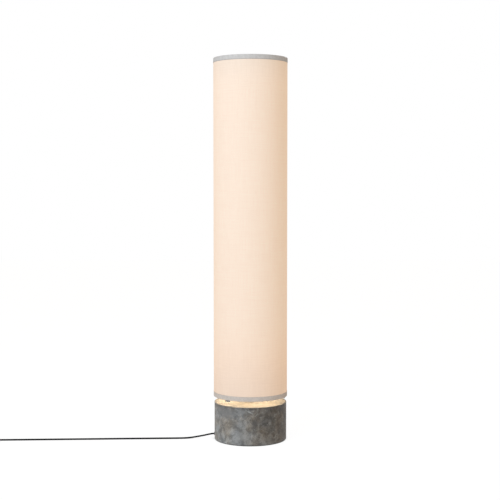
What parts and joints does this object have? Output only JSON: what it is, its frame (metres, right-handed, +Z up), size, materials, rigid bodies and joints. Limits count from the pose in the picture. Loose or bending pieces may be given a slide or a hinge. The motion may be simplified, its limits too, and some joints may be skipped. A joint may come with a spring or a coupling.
{
  "type": "column floor lamp",
  "caption": "Column floor lamp: a tall cylindrical fabric shade that lifts off a stem on a low stone drum, with linear light tubes and a corded foot switch.",
  "frame": {"origin": "on the lamp's axis, at the floor under the stone drum", "axes": "+Z up along the lamp's axis, the cord leaves the drum towards -X, +Y is the back of the lamp"},
  "size_m": [1.1601, 0.2328, 1.2],
  "materials": {
    "felt": "felt",
    "stone": "honed, mottled",
    "black_steel": "satin powder coat",
    "zinc_steel": "zinc plated",
    "brass": "turned",
    "black_plastic": "moulded, matt",
    "white_plastic": "moulded, matt",
    "cord": "braided textile over rubber",
    "wire": "insulated",
    "stem_steel": "brushed",
    "aluminium": "satin",
    "diffuser": "opal",
    "board": "white solder mask",
    "fabric": "linen laminated on a translucent sheet",
    "tape": "woven cotton tape",
    "spring_steel": "drawn",
    "rubber": "moulded"
  },
  "bodies": {
    "root": {"felt_ring": "felt", "stone_base": "stone", "cover_plate": "black_steel", "cover_screws": "zinc_steel", "cover_inserts": "brass", "threaded_tube": "zinc_steel", "clamp_washer": "zinc_steel", "hex_nut": "zinc_steel", "cord_bushing": "black_plastic", "inner_cord": "cord", "cord_clamp": "white_plastic", "clamp_screws": "zinc_steel", "terminal_block": "white_plastic", "feed_wires": "wire", "foot_plate": "stem_steel", "stem": "stem_steel", "stem_bush": "brass", "guide_star": "zinc_steel", "lower_bracket": "zinc_steel", "upper_bracket": "zinc_steel", "grub_screws": "black_steel", "holder_screws": "zinc_steel", "lower_holders": "white_plastic", "upper_holders": "white_plastic", "top_pin": "brass", "switch_base": "black_plastic", "switch_cover": "black_plastic", "switch_spring": "spring_steel", "switch_contacts": "brass", "switch_screws": "zinc_steel", "switch_feet": "rubber", "cord_lead": "cord", "cord_middle": "cord", "cord_coil": "cord", "coil_tie": "black_plastic", "cord_tail": "cord", "plug_body": "black_plastic", "plug_pins": "zinc_steel"},
    "shade": {"top_spider": "spring_steel", "bottom_ring": "spring_steel", "shade_fabric": "fabric", "top_tape": "tape", "bottom_tape": "tape"},
    "left_tube": {"left_diffuser": "diffuser", "left_caps": "aluminium", "left_pins": "brass", "left_board": "board", "left_rotors": "white_plastic"},
    "right_tube": {"right_diffuser": "diffuser", "right_caps": "aluminium", "right_pins": "brass", "right_board": "board", "right_rotors": "white_plastic"},
    "pedal": {"switch_pedal": "black_plastic"}
  },
  "joints": [
    {"name": "shade_lift", "type": "slide", "parent": "root", "child": "shade", "axis": [0, 0, 1], "range_m": [0, 1.08]},
    {"name": "left_tube_turn", "type": "hinge", "parent": "root", "child": "left_tube", "pos_m": [-0.03, 0, 0.6], "axis": [0, 0, 1], "range_deg": [0, 90]},
    {"name": "right_tube_turn", "type": "hinge", "parent": "root", "child": "right_tube", "pos_m": [0.03, 0, 0.6], "axis": [0, 0, 1], "range_deg": [0, 90]},
    {"name": "pedal_press", "type": "slide", "parent": "root", "child": "pedal", "axis": [0, 0, -1], "range_m": [0, 0.003], "stiffness_N_per_m": 800, "springref_m": -0.003, "deforming": ["switch_spring"]}
  ]
}
